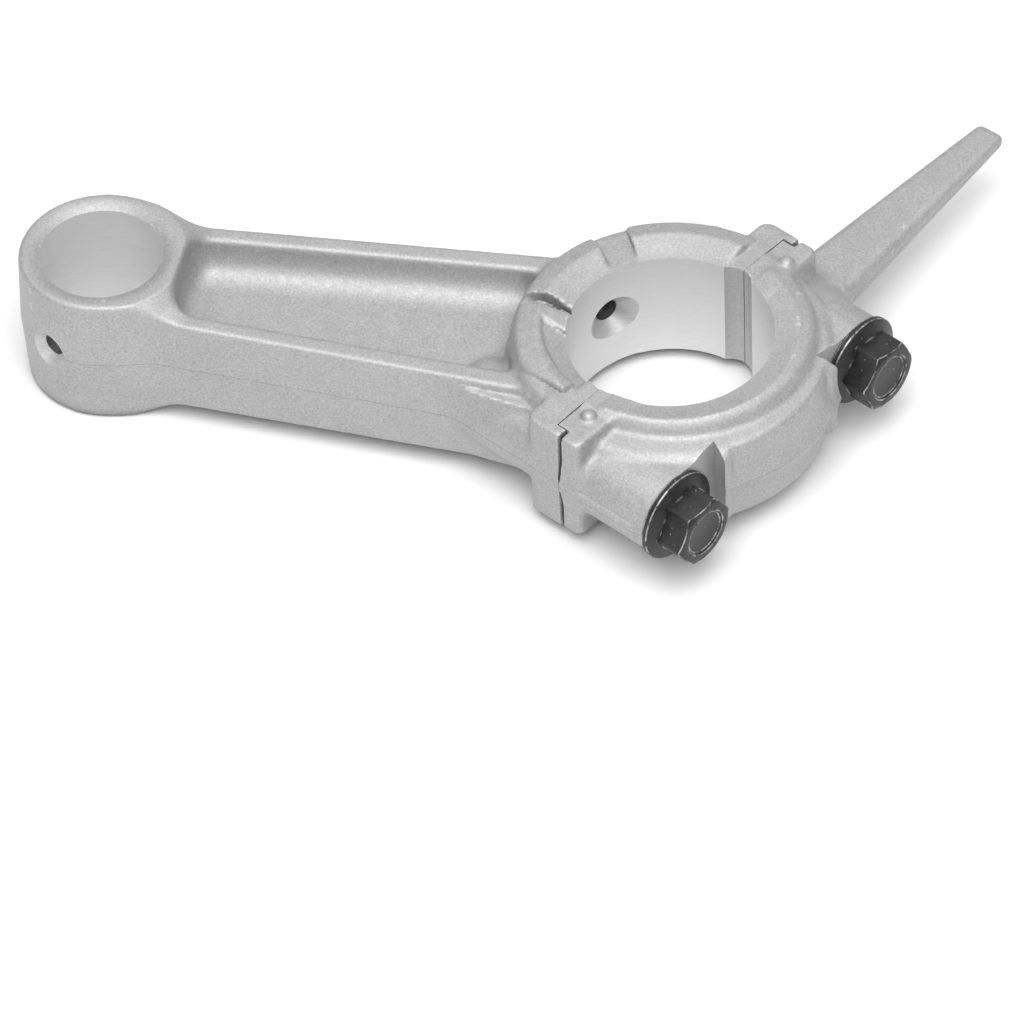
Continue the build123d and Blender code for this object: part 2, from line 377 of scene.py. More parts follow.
def add_rod_joint(body, u, v, z):
    """Bolt bosses, the near boss's flank and the ears at the parting line."""
    for side, (radius, depth, end, fillet) in ROD_BOSS.items():
        boss = np.hypot(side * v - BOLT_V, z) - radius
        boss = blend_max(boss, -(u + depth), end)
        body = blend_min(body, boss, fillet)
    flank_top = z - FLANK_TOP + FLANK_FALL * (v - FLANK_TOP_V)
    flank = blend_max(polygon(u, v, FLANK, 0.8), flank_top, 0.5)
    body = blend_min(body, flank, 0.6)
    for side in (NEAR, FAR):
        w = side * v
        ear = blend_max(-(u + ROD_EAR_BACK), w - EAR_V[side], 2.0)
        ear = np.maximum(ear, np.maximum(u - PAST_JOINT, EAR_INNER_V - w))
        ear = np.minimum(ear, box2(u, w, -3.1, PAST_JOINT, 12, 21))
        ear = blend_max(ear, z - LAND - 0.05, 0.6)
        body = blend_min(body, ear, 0.6)
    return blend_max(body, u - LIP_U, 0.4)


def add_pads(body, x, y, z):
    """Pads round the bore: a low roof with its ridge on a circle, parted by a groove and a slot."""
    u, v = to_cap(x, y)
    r = np.hypot(x, y)
    roof = LAND + LIFT + PAD_RISE * (r - CRANK_R)
    roof = np.minimum(roof, PAD_RIDGE - PAD_FALL * (r - PAD_RIDGE_R))
    out = -x - CRANK_R
    far_y = blend_min(GROOVE_FAR_Y + GROOVE_FAR_FLARE * out, GROOVE_WIDEST_Y + 0 * out, 0.8)
    near_y = GROOVE_NEAR_Y + GROOVE_NEAR_FLARE * out
    groove = np.maximum(GROOVE_FAR_COSINE * (y - far_y), near_y - y)
    groove = np.maximum(groove, x)
    slot_side = across(x, y, SLOT_TURN)
    slot_end = SLOT_END + SLOT_FLARE * (r - CRANK_R)
    slot = np.maximum(SLOT_START - slot_side, slot_side - slot_end)
    slot = np.maximum(slot, -y)
    end_u = np.where(v > 0, PAD_END_U[FAR], PAD_END_U[NEAR])
    ends = PAD_END_COSINE * (u + PAD_END_SLOPE * (z - LAND) + end_u)
    plan = np.maximum(np.maximum(-groove, -slot), np.maximum(ends, PAD_NEAR_V - v))
    plan = blend_max(plan, disc_wall(r, z, PAD_R), 0.6)
    body = blend_min(body, blend_max(z - roof, plan, 0.5), 0.3)
    return cut(body, np.maximum(groove, GROOVE_FLOOR + GROOVE_FLOOR_RISE * out - z), 0.5)


def bore_hollow(x, y, z):
    """Hollow between the near pad and the bore, which narrows toward the parting line."""
    u = to_cap(x, y)[0]
    r = np.hypot(x, y)
    turn = np.degrees(np.arctan2(y, x)) % 360
    wall = r - HOLLOW_R + HOLLOW_NARROWS * (turn - HOLLOW_TURN)
    floor_side = HOLLOW_COSINE * (HOLLOW_FLOOR + HOLLOW_SLOPE * (r - CRANK_R) - z)
    start = HOLLOW_START_FACES[0] * (x - HOLLOW_START[0]) + HOLLOW_START_FACES[1] * (y - HOLLOW_START[1])
    return np.maximum(np.maximum(wall, floor_side), np.maximum(start, u - HOLLOW_END_U))


def cored(body, distance, radius):
    """The castings' bores are cored undersize, by CORE_LEFT, and finished by machining."""
    return np.maximum(body, CORE_LEFT - (distance - radius + 2 * CORE_LEFT))


def rod_shape(x, y, z):
    """Distance to the rod's casting."""
    u, v = to_cap(x, y)
    r = np.hypot(x, y)
    body = eye_and_beam(x, y, z)
    disc = blend_max(disc_wall(r, z, DISC_R), z - LAND, 1.3)
    body = blend_min(body, disc, 1.4)
    body = cut(body, beam_pocket(x, y, z), 0.9)
    body = add_rod_joint(body, u, v, z)
    body = add_pads(body, x, y, z)
    body = cut(body, bore_hollow(x, y, z), 0.7)
    body = cored(body, r, CRANK_R)
    body = cored(body, np.hypot(x + CENTRES, y), PIN_R)
    return np.maximum(body, u - 3)


# ---- the cap's casting ----------------------------------------------------------------------

def cap_ring(u, v, z):
    """Raised ring round the bore and the lower land at its ends."""
    r = np.hypot(u, v)
    ring = RING_COSINE * (np.hypot(u, v - RING_V) - RING_R - RING_SLOPE * (RING_RIM_Z - z))
    low_ring = blend_max(ring, z - LAND + LIFT, 0.5)
    roof = LAND + LIFT + RING_RISE * (r - CRANK_R)
    roof = np.minimum(roof, RING_RIDGE - RING_FALL * (r - RING_RIDGE_R))
    ring = blend_max(ring, z - roof, 0.6)
    ring = blend_max(ring, RING_END_U - u, 0.8)
    return blend_min(ring, low_ring, 0.4)


def add_cap_side(body, u, v, z, side):
    """Bolt boss, ear, ring end and flash band of one side, and the step for the rod's lip."""
    w = side * v
    boss = np.hypot(w - BOLT_V, z) - CAP_BOSS_R
    block = box2(u, w, -5, SEAT_U + 3, CAP_BLOCK_V, BOLT_V)
    block = blend_max(block, z - CAP_BLOCK_TOP, 0.8)
    boss = blend_min(blend_max(boss, u - SEAT_U - 3, 0.5), block, 0.8)
    body = blend_min(body, boss, 1.2)
    ear = blend_max(u - CAP_EAR_FRONT, w - EAR_V[side], 1.3)
    ear = blend_max(np.maximum(ear, np.maximum(-5 - u, CAP_EAR_INNER_V - w)), z - LAND, 0.8)
    body = blend_min(body, ear, 1.3)
    nub_u, nub_w = NUB_UV[side]
    nub = np.sqrt((u - nub_u) ** 2 + (w - nub_w) ** 2 + (z - LAND + NUB_SUNK) ** 2) - NUB_R
    body = blend_min(body, nub, 0.4)
    band = box2(u, z, 1, BAND_END_U, -BAND_HALF, BAND_HALF)
    band = blend_max(band, w - BOLT_V - BAND_PROUD, 0.3)
    band = np.maximum(band, BAND_INNER_V - w)
    body = blend_min(body, band, 0.35)
    step = np.maximum(LIP_V[side] - LIP_GAP - w, u - LIP_U - LIP_SLIT)
    return cut(body, step, 0.35)


def dipper_blade(u, v, z):
    """Tapered blade with rounded edges, from inside the cap to the dipper's tip."""
    root = np.array(DIPPER_ROOT)
    tip = np.array(DIPPER_TIP)
    length = math.hypot(*(tip - root))
    along = (tip - root) / length
    s = (u - root[0]) * along[0] + (v - root[1]) * along[1]
    n = (u - root[0]) * along[1] - (v - root[1]) * along[0]
    share = s / length
    half_width = DIPPER_HALF_WIDTH[0] - DIPPER_HALF_WIDTH[1] * share
    half_thick = DIPPER_HALF_THICK[0] - DIPPER_HALF_THICK[1] * share
    corner = DIPPER_EDGE * half_thick
    past_n = np.maximum(np.abs(n) - half_width + corner, 0)
    past_z = np.maximum(z - half_thick + corner, 0)
    blade = np.hypot(past_n, past_z) - corner
    blade = blend_max(blade, s - length, 1.6)
    return np.maximum(blade, -(s + 4))


def cap_shape(u, v, z):
    """Distance to the cap's casting, in the cap's frame."""
    r = np.hypot(u, v)
    top = z - CAP_TOP + CAP_TOP_FALL * (r - CAP_TOP_R)
    body = blend_max(r - (CAP_R - CAP_DRAFT * z), top, 1.0)
    body = blend_min(body, cap_ring(u, v, z), 0.5)
    for side in (NEAR, FAR):
        body = add_cap_side(body, u, v, z, side)
    body = blend_min(body, dipper_blade(u, v, z), 2.5)
    body = cored(body, r, CRANK_R)
    return np.maximum(body, -3 - u)


# ---- mesh tools -----------------------------------------------------------------------------

def make_object(name, vertices, faces, material):
    """Mesh object in metres with one material."""
    mesh = bpy.data.meshes.new(name)
    mesh.from_pydata(vertices, [], faces)
    mesh.update()
    made = bpy.data.objects.new(name, mesh)
    bpy.context.scene.collection.objects.link(made)
    mesh.materials.append(material)
    return made


def casting(name, shape, low, high, turn, material):
    """Skin of a distance field in millimetres, turned by an angle about z into the part's frame."""
    points, quads = skin(shape, low, high, CELL)
    c, s = math.cos(math.radians(turn)), math.sin(math.radians(turn))
    x, y, z = points.T
    turned = np.stack([c * x - s * y, s * x + c * y, z], axis=1)
    return make_object(name, (turned * MM).tolist(), quads.tolist(), material)


def prism(outline, low, high, turn, material):
    """Upright prism on a counterclockwise outline in the turned frame, in millimetres."""
    c, s = math.cos(math.radians(turn)), math.sin(math.radians(turn))
    count = len(outline)
    ring = [((c * x - s * y) * MM, (s * x + c * y) * MM) for x, y in outline]
    vertices = [(x, y, z * MM) for z in (low, high) for x, y in ring]
    faces = [tuple(range(count))[::-1], tuple(range(count, 2 * count))]
    faces += [(i, (i + 1) % count, count + (i + 1) % count, count + i) for i in range(count)]
    return make_object("tool", vertices, faces, material)


def lathe(profile, base, axis, material, steps=96):
    """Closed solid from (radius, distance) points along axis; the first and last radius are zero."""
    axis = Vector(axis).normalized()
    side = axis.orthogonal().normalized()
    other = axis.cross(side)
    base = Vector(base)
    vertices = [base + axis * profile[0][1]]
    for radius, distance in profile[1:-1]:
        for i in range(steps):
            a = 2 * math.pi * i / steps
            spoke = side * math.cos(a) + other * math.sin(a)
            vertices.append(base + axis * distance + spoke * radius)
    vertices.append(base + axis * profile[-1][1])
    faces = []
    rings = len(profile) - 2
    last = len(vertices) - 1
    for i in range(steps):
        j = (i + 1) % steps
        faces.append((0, 1 + j, 1 + i))
        for k in range(rings - 1):
            a, b = 1 + k * steps, 1 + (k + 1) * steps
            faces.append((a + i, a + j, b + j, b + i))
        top = 1 + (rings - 1) * steps
        faces.append((top + i, top + j, last))
    return make_object("tool", [tuple(p * MM) for p in vertices], faces, material)


def machine(blank, tools, bores):
    """Cuts the tools out of blank, then shades its edges sharp and its bores round."""
    for tool in tools:
        merge(blank, tool, "DIFFERENCE")
    mesh = blank.data
    mesh.shade_smooth()
    mesh.set_sharp_from_angle(angle=math.radians(32))
    shade_bores(mesh, bores)
    return blank


def shade_bores(mesh, bores):
    """Gives the walls of upright bores, (x, radius) in millimetres, a true cylinder's normals."""
    places = np.empty(3 * len(mesh.vertices))
    mesh.vertices.foreach_get("co", places)
    places = places.reshape(-1, 3) / MM
    normals = np.zeros((len(mesh.loops), 3))
    for centre, radius in bores:
        inward = np.array([centre, 0, 0]) - places
        inward[:, 2] = 0
        reach = np.linalg.norm(inward, axis=1)
        on_wall = np.abs(reach - radius) < 0.02
        for face in mesh.polygons:
            if on_wall[list(face.vertices)].all() and abs(face.normal.z) < 0.1:
                for loop in face.loop_indices:
                    corner = mesh.loops[loop].vertex_index
                    normals[loop] = inward[corner] / reach[corner]
    mesh.normals_split_custom_set(normals.tolist())


def threaded(crest, root, start, end, base, axis, material, plain_to=None):
    """Closed rod with a right-hand M7 thread from start to end, then plain on to plain_to."""
    axis = Vector(axis).normalized()
    side = Vector((0, 0, 1))
    other = axis.cross(side)
    around = 40
    rows = int((end - start) / (PITCH / 8))
    places = [start + (end - start) * i / rows for i in range(rows + 1)]
    vertices = []
    for place in places:
        for i in range(around):
            a = 2 * math.pi * i / around
            wave = abs(((place / PITCH - i / around) % 1) * 2 - 1)
            depth = min(max(1.25 * wave - 0.12, 0), 1)
            fade = min(1, (place - start) / 1.5)
            radius = root + (crest - root) * depth * fade
            spoke = side * math.cos(a) + other * math.sin(a)
            vertices.append(Vector(base) + axis * place + spoke * radius)
    if plain_to is not None:
        neck = [(end + 0.3, root), (end + 0.8, root), (end + 1.3, crest - 0.12), (plain_to, crest - 0.12)]
        for place, radius in neck:
            for i in range(around):
                a = 2 * math.pi * i / around
                spoke = side * math.cos(a) + other * math.sin(a)
                vertices.append(Vector(base) + axis * place + spoke * radius)
    rings = len(vertices) // around
    faces = [tuple(range(around))[::-1], tuple(range((rings - 1) * around, rings * around))]
    for k in range(rings - 1):
        for i in range(around):
            j = (i + 1) % around
            faces.append((k * around + i, k * around + j, (k + 1) * around + j, (k + 1) * around + i))
    return make_object("tool", [tuple(p * MM) for p in vertices], faces, material)


# ---- bolts ----------------------------------------------------------------------------------

def hexagon_outline(turn):
    """Offsets round the bolt's axis of a hexagon whose corners are slightly blunt."""
    ahead = Vector((SIN, COS, 0))
    up = Vector((0, 0, 1))
    corner = HEX_FLATS / 2 / math.cos(math.pi / 6)
    outline = []
    for i in range(6):
        for lean in (-3.2, 0, 3.2):
            a = math.radians(60 * i + lean + turn)
            reach = (corner - 0.22) / math.cos(math.radians(lean)) if lean else corner - 0.16
            outline.append((ahead * math.cos(a) + up * math.sin(a)) * reach)
    return outline


def make_hexagon(base, turn, material):
    """Hexagon of the bolt's head with a chamfered rim and a shallow dish."""
    axis = Vector(CAP_AXIS)
    outline = hexagon_outline(turn)
    count = len(outline)
    vertices = [tuple((Vector(base) + axis * h + p) * MM) for h in (0.4, HEAD_HEIGHT) for p in outline]
    faces = [tuple(range(count)), tuple(range(count, 2 * count))[::-1]]
    faces += [(i, count + i, count + (i + 1) % count, (i + 1) % count) for i in range(count)]
    hexagon = make_object("tool", vertices, faces, material)
    top = HEAD_HEIGHT
    rim = [(0, -1), (9, -1), (9, top - 2.5), (4.85, top - 0.12), (4.6, top), (0, top)]
    merge(hexagon, lathe(rim, base, CAP_AXIS, material), "INTERSECT")
    dish = [(0, top - 0.4), (3.3, top - 0.35), (3.9, top + 0.3), (0, top + 0.3)]
    merge(hexagon, lathe(dish, base, CAP_AXIS, material), "DIFFERENCE")
    return hexagon


def soften_edges(piece):
    """Small bevels on the edges, whose faces take the piece's second material."""
    soften = piece.modifiers.new("soften", "BEVEL")
    soften.width = 0.12 * MM
    soften.segments = 2
    soften.use_clamp_overlap = False
    # the bevels take the second material, whose lighter patches are partly wear and partly painted
    # highlight
    soften.material = 1
    soften.limit_method = "ANGLE"
    soften.angle_limit = math.radians(35)
    bpy.context.view_layer.objects.active = piece
    bpy.ops.object.modifier_apply(modifier=soften.name)


def make_bolt(name, side, material, edge_material):
    """Flange bolt on its seat: washer flange, hexagon and threaded shank."""
    base = cap_point(SEAT_U, side * BOLT_V)
    flange = [(0, -0.5), (3.3, -0.5), (3.3, 0), (6.7, 0), (6.9, 0.2), (6.9, 0.95), (6.6, 1.25)]
    flange += [(5.4, 1.7), (4.9, 2.1), (0, 2.1)]
    bolt = lathe(flange, base, CAP_AXIS, material)
    bolt.name = name
    merge(bolt, make_hexagon(base, BOLT_TURN[side], material), "UNION")
    bolt.data.materials.append(edge_material)
    # the bevel comes before the thread, whose small faces it would tear
    soften_edges(bolt)
    shank = threaded(
        THREAD_CREST, THREAD_ROOT, -BOLT_LENGTH, -THREAD_START, base, CAP_AXIS, material, plain_to=0.4
    )
    merge(bolt, shank, "UNION")
    bolt.data.shade_smooth()
    bolt.data.set_sharp_from_angle(angle=math.radians(30))
    return bolt


def merge(blank, tool, operation):
    """Applies a boolean and removes the tool; faces from the tool keep the tool's material."""
    step = blank.modifiers.new("merge", "BOOLEAN")
    step.operation = operation
    step.solver = "MANIFOLD"
    step.object = tool
    step.material_mode = "TRANSFER"
    before = len(blank.data.polygons)
    bpy.context.view_layer.objects.active = blank
    bpy.ops.object.modifier_apply(modifier=step.name)
    if len(blank.data.polygons) == before:
        print("WARNING: no change from", tool.name, "on", blank.name)
    bpy.data.objects.remove(tool)


def cap_point(u, v, z=0.0):
    """Place in the part's frame of a point given in the cap's frame."""
    return (COS * u + SIN * v, -SIN * u + COS * v, z)


def countersink(radius, mouth, surface, inward, centre, turn, material):
    """Cone tool of radius mouth at the surface, narrowing to a radial drilling's radius."""
    a = math.radians(turn)
    axis = (math.cos(a), math.sin(a), 0)
    spread = mouth + 0.8
    above = surface - 0.8 * inward
    foot = surface + (mouth - radius) * inward
    profile = [(0, above), (spread, above), (radius, foot), (0, foot)]
    if inward < 0:
        profile.reverse()
    return lathe(profile, centre, axis, material, 64)


def drilling(radius, start, end, centre, turn, material):
    """Radial drill tool between two distances from a bore's axis."""
    a = math.radians(turn)
    return cylinder_tool(radius, centre, (math.cos(a), math.sin(a), 0), start, end, material, 48)


def cylinder_tool(radius, base, axis, start, end, material, steps=160):
    """Cylinder round an axis, between two distances from base."""
    return lathe([(0, start), (radius, start), (radius, end), (0, end)], base, axis, material, steps)


# ---- materials ------------------------------------------------------------------------------

def plain(name, colour, roughness, metallic):
    """Even material, for the floor."""
    material = bpy.data.materials.new(name)
    material.use_nodes = True
    shader = material.node_tree.nodes["Principled BSDF"]
    shader.inputs["Base Color"].default_value = (*colour, 1)
    shader.inputs["Roughness"].default_value = roughness
    shader.inputs["Metallic"].default_value = metallic
    return material


class Graph:
    """Short hand for building one material's nodes."""

    def __init__(self, name):
        self.material = bpy.data.materials.new(name)
        self.material.use_nodes = True
        self.tree = self.material.node_tree
        self.shader = self.tree.nodes["Principled BSDF"]
        self.place = self.tree.nodes.new("ShaderNodeTexCoord").outputs["Object"]

    def link(self, output, target):
        """Joins an output to an input socket."""
        self.tree.links.new(output, target)

    def noise(self, size, detail=2.0, roughness=0.5, place=None):
        """Noise whose grains are about size millimetres across."""
        node = self.tree.nodes.new("ShaderNodeTexNoise")
        node.inputs["Scale"].default_value = 1 / (size * MM)
        node.inputs["Detail"].default_value = detail
        node.inputs["Roughness"].default_value = roughness
        self.link(place or self.place, node.inputs["Vector"])
        return node.outputs["Fac"]

    def ramp(self, value, *stops):
        """Colour ramp from (position, grey or colour) stops."""
        node = self.tree.nodes.new("ShaderNodeValToRGB")
        elements = node.color_ramp.elements
        while len(elements) < len(stops):
            elements.new(0.5)
        for element, (position, colour) in zip(elements, stops):
            element.position = position
            element.color = (*colour, 1) if isinstance(colour, tuple) else (colour, colour, colour, 1)
        self.link(value, node.inputs["Fac"])
        return node.outputs["Color"]

    def math(self, operation, a, b=None):
        """Math node whose inputs are numbers or outputs."""
        node = self.tree.nodes.new("ShaderNodeMath")
        node.operation = operation
        for value, socket in ((a, node.inputs[0]), (b, node.inputs[1])):
            if isinstance(value, (int, float)):
                socket.default_value = value
            elif value is not None:
                self.link(value, socket)
        return node.outputs[0]

    def mix(self, kind, share, a, b):
        """Mix of two colours by a share, which is a number or an output."""
        node = self.tree.nodes.new("ShaderNodeMix")
        node.data_type = "RGBA"
        node.blend_type = kind
        node.inputs["Factor"].default_value = 1
        if isinstance(share, (int, float)):
            node.inputs["Factor"].default_value = share
        else:
            self.link(share, node.inputs["Factor"])
        self.link(a, node.inputs[6])
        self.link(b, node.inputs[7])
        return node.outputs[2]

    def bump(self, height, depth, strength=1.0, below=None):
        """Bump whose full height is depth millimetres."""
        node = self.tree.nodes.new("ShaderNodeBump")
        node.inputs["Strength"].default_value = strength
        node.inputs["Distance"].default_value = depth * MM
        self.link(height, node.inputs["Height"])
        if below is not None:
            self.link(below, node.inputs["Normal"])
        return node.outputs["Normal"]

    def openness(self, reach):
        """How open the surroundings are within reach millimetres, from 0 in a crack to 1."""
        node = self.tree.nodes.new("ShaderNodeAmbientOcclusion")
        node.samples = 8
        node.inputs["Distance"].default_value = reach * MM
        return node.outputs["AO"]

    def pointiness(self):
        """Above 0.5 on edges that stand out and below it in creases."""
        return self.tree.nodes.new("ShaderNodeNewGeometry").outputs["Pointiness"]

    def height(self):
        """Height above the mould's parting plane, in metres."""
        node = self.tree.nodes.new("ShaderNodeSeparateXYZ")
        self.link(self.place, node.inputs[0])
        return node.outputs["Z"]


def cast_metal(name, marks_and_painted_light):
    """Die-cast aluminium: a fine sandy grain and cloudy patches.

    Its second argument adds a faint mould line, painted highlights in specks on the edges and painted
    shade in creases and hollows.
    """
    g = Graph(name)
    fine = g.noise(0.30, 3, 0.6)
    coarse = g.noise(1.1, 3, 0.55)
    cloud = g.noise(9, 3, 0.5)
    base = g.ramp(fine, (0.28, 0.37), (0.5, 0.45), (0.72, 0.54))
    base = g.mix("MULTIPLY", 1.0, base, g.ramp(cloud, (0.3, 0.93), (0.7, 1.0)))
    base = g.mix("MULTIPLY", 1.0, base, g.ramp(coarse, (0.3, 0.93), (0.7, 1.0)))
    g.link(g.ramp(coarse, (0.3, 0.56), (0.7, 0.68)), g.shader.inputs["Roughness"])
    g.shader.inputs["Metallic"].default_value = 0.7
    normal = g.bump(cloud, 0.10, 0.4)
    normal = g.bump(coarse, 0.05, 0.5, normal)
    normal = g.bump(fine, 0.025, 0.6, normal)
    if not marks_and_painted_light:
        base = g.mix("MIX", 0.25, base, g.ramp(coarse, (0.0, 0.7), (1.0, 0.8)))
    if marks_and_painted_light:
        # painted highlight: edges that stand out are painted lighter, in specks, where light would catch
        # them
        highlight_speck = g.ramp(g.noise(0.6, 2, 0.6), (0.40, 0.1), (0.62, 1.0))
        edge_highlight = g.ramp(g.pointiness(), (0.525, 0.0), (0.60, 0.55))
        edge_highlight = g.mix("MULTIPLY", 1.0, edge_highlight, highlight_speck)
        base = g.mix("MIX", edge_highlight, base, g.ramp(coarse, (0.0, 0.66), (1.0, 0.76)))
        # painted shade: darker where ambient occlusion finds the surroundings close, in creases, corners
        # and hollows
        base = g.mix("MULTIPLY", 1.0, base, g.ramp(g.openness(3.5), (0.2, 0.45), (0.85, 1.0)))
        wander = g.math("MULTIPLY", g.math("SUBTRACT", g.noise(4, 2), 0.5), 0.0006)
        line = g.math("ABSOLUTE", g.math("ADD", g.height(), wander))
        line = g.ramp(g.math("MULTIPLY", line, 1000.0), (0.04, 1.0), (0.14, 0.0))
        shade = g.ramp(fine, (0.2, 0.20), (0.8, 0.34))
        base = g.mix("MIX", g.math("MULTIPLY", line, 0.45), base, shade)
        normal = g.bump(line, 0.05, 0.6, normal)
    g.link(base, g.shader.inputs["Base Color"])
    g.link(normal, g.shader.inputs["Normal"])
    return g.material


def machined_metal(name, dark, light):
    """Cut aluminium between two greys, with faint tool marks that run round a bore."""
    g = Graph(name)
    stretch = g.tree.nodes.new("ShaderNodeMapping")
    stretch.inputs["Scale"].default_value = (1, 1, 22)
    g.link(g.place, stretch.inputs["Vector"])
    marks = g.noise(2.4, 4, 0.6, stretch.outputs["Vector"])
    cloud = g.noise(5, 3, 0.5)
    base = g.ramp(marks, (0.3, dark), (0.7, light))
    base = g.mix("MULTIPLY", 1.0, base, g.ramp(cloud, (0.3, 0.97), (0.7, 1.0)))
    g.link(base, g.shader.inputs["Base Color"])
    g.link(g.ramp(cloud, (0.3, 0.44), (0.7, 0.52)), g.shader.inputs["Roughness"])
    g.shader.inputs["Metallic"].default_value = 0.55
    g.link(g.bump(marks, 0.005, 0.6), g.shader.inputs["Normal"])
    return g.material


def black_oxide():
    """Blackened steel, smooth and a little cloudy, with a few specks of dust."""
    g = Graph("black_oxide_steel")
    cloud = g.noise(1.8, 4, 0.6)
    fine = g.noise(0.35, 3, 0.6)
    base = g.ramp(cloud, (0.3, (0.010, 0.010, 0.011)), (0.7, (0.026, 0.025, 0.024)))
    dust = g.ramp(g.noise(0.45, 1, 0.4), (0.77, 0.0), (0.80, 1.0))
    base = g.mix("MIX", g.math("MULTIPLY", dust, 0.6), base, g.ramp(fine, (0.3, 0.25), (0.7, 0.5)))
    g.link(base, g.shader.inputs["Base Color"])
    g.link(g.ramp(cloud, (0.3, 0.34), (0.7, 0.5)), g.shader.inputs["Roughness"])
    g.shader.inputs["Metallic"].default_value = 0.2
    normal = g.bump(cloud, 0.03, 0.4)
    g.link(g.bump(fine, 0.012, 0.4, normal), g.shader.inputs["Normal"])
    return g.material


def make_edge_wear_and_highlight():
    """The same steel on its bevelled edges, lighter in patches: partly rubbed wear, partly painted
    highlight.
    """
    g = Graph("steel_edge_wear_and_highlight")
    patchy = g.ramp(g.noise(1.3, 3, 0.6), (0.40, 0.05), (0.62, 0.40))
    g.link(patchy, g.shader.inputs["Base Color"])
    g.link(g.ramp(g.noise(0.35, 3, 0.6), (0.3, 0.32), (0.7, 0.46)), g.shader.inputs["Roughness"])
    g.shader.inputs["Metallic"].default_value = 0.6
    return g.material


def relief(side):
    """Tool for the as-cast hollow that straddles the parting line in the crank bore's wall."""
    radius, depth = RELIEF[side]
    centre = CRANK_R + depth - radius
    return cylinder_tool(radius, cap_point(0, side * centre), UP, -30, 30, cast_inside, 96)


# ---- the pieces -----------------------------------------------------------------------------

cast = cast_metal("cast_aluminium", True)
cast_inside = cast_metal("cast_aluminium_inside", False)
bored = machined_metal("bored_aluminium", 0.65, 0.71)
# painted light: the pin bore is coloured lighter than the crank bore to make up for the shade that falls
# inside it
pin_bore_painted_light = machined_metal("pin_bore_painted_light_aluminium", 0.74, 0.80)
turned = machined_metal("turned_aluminium", 0.46, 0.60)
# painted shade: the parting faces are coloured darker so that the joint's slit between them shows as dark
# shade
joint_painted_shade = machined_metal("joint_face_painted_shade", 0.36, 0.46)
# painted shade: the walls of the oil holes and bolt holes are coloured near black for the shade deep
# inside them
hole_painted_shade = machined_metal("hole_wall_painted_shade", 0.12, 0.20)
black = black_oxide()
edge_wear_and_highlight = make_edge_wear_and_highlight()

rod = casting("rod_casting", rod_shape, (-97.5, -29, 0), (18, 29, 12), 0, cast)
beyond_joint = [(0, -LIP_V[NEAR]), (60, -LIP_V[NEAR]), (60, LIP_V[FAR]), (0, LIP_V[FAR])]
pin_centre = (-CENTRES, 0, 0)
oil_centre = (-CENTRES, 0, SMALL_OIL_Z)
tools = [
    cylinder_tool(CRANK_R, ORIGIN, UP, -30, 30, bored),
    cylinder_tool(PIN_R, pin_centre, UP, -30, 30, pin_bore_painted_light),
    relief(FAR),
    relief(NEAR),
    prism(beyond_joint, -30, 30, -SPLIT, joint_painted_shade),
    countersink(CRANK_OIL_R, CRANK_OIL_MOUTH, CRANK_R, 1, ORIGIN, CRANK_OIL_TURN, turned),
    drilling(CRANK_OIL_R, 12, 30, ORIGIN, CRANK_OIL_TURN, hole_painted_shade),
    countersink(SMALL_OIL_R, SMALL_OIL_MOUTH, EYE_R - 0.1, -1, oil_centre, SMALL_OIL_TURN, turned),
    drilling(SMALL_OIL_R, 4, 16, oil_centre, SMALL_OIL_TURN, hole_painted_shade),
]
for side in (NEAR, FAR):
    base = cap_point(SEAT_U, side * BOLT_V)
    tools.append(threaded(TAPPED_CREST, TAPPED_ROOT, -HOLE_END, 0.0, base, CAP_AXIS, hole_painted_shade))
machine(rod, tools, [(0, CRANK_R), (-CENTRES, PIN_R)])
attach(rod, "rod")
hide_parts("rod_body")

cap = casting("cap_casting", cap_shape, (-6, -28, 0), (25.5, 71, 11), -SPLIT, cast)
behind_joint = [(-60, -60), (JOINT_GAP, -60), (JOINT_GAP, 60), (-60, 60)]
wall_end = SEAT_WALL_V + SEAT_WALL_SLOPE * (60 - SEAT_U)
near_seat = [(SEAT_U, -60), (60, -60), (60, -wall_end), (SEAT_U, -SEAT_WALL_V)]
far_seat = [(SEAT_U, SEAT_WALL_V), (60, wall_end), (60, 60), (SEAT_U, 60)]
tools = [
    prism(behind_joint, -30, 30, -SPLIT, joint_painted_shade),
    cylinder_tool(CRANK_R, ORIGIN, UP, -30, 30, bored),
    relief(FAR),
    relief(NEAR),
    prism(near_seat, -30, 30, -SPLIT, cast_inside),
    prism(far_seat, -30, 30, -SPLIT, cast_inside),
]
for side in (NEAR, FAR):
    base = cap_point(0, side * BOLT_V)
    tools.append(cylinder_tool(CAP_HOLE_R, base, CAP_AXIS, -2, SEAT_U + 2, hole_painted_shade, 64))
machine(cap, tools, [(0, CRANK_R)])
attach(cap, "cap")
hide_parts("cap")

for name, side in (("near_bolt", NEAR), ("far_bolt", FAR)):
    bolt = make_bolt(name + "_detail", side, black, edge_wear_and_highlight)
    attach(bolt, name)
    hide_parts(name)

# ---- studio ---------------------------------------------------------------------------------

# metres and degrees from here on
FLOOR_Z = -0.0112
FLOOR_REACH = 8.0
FLOOR_GREY = (0.8, 0.8, 0.8)
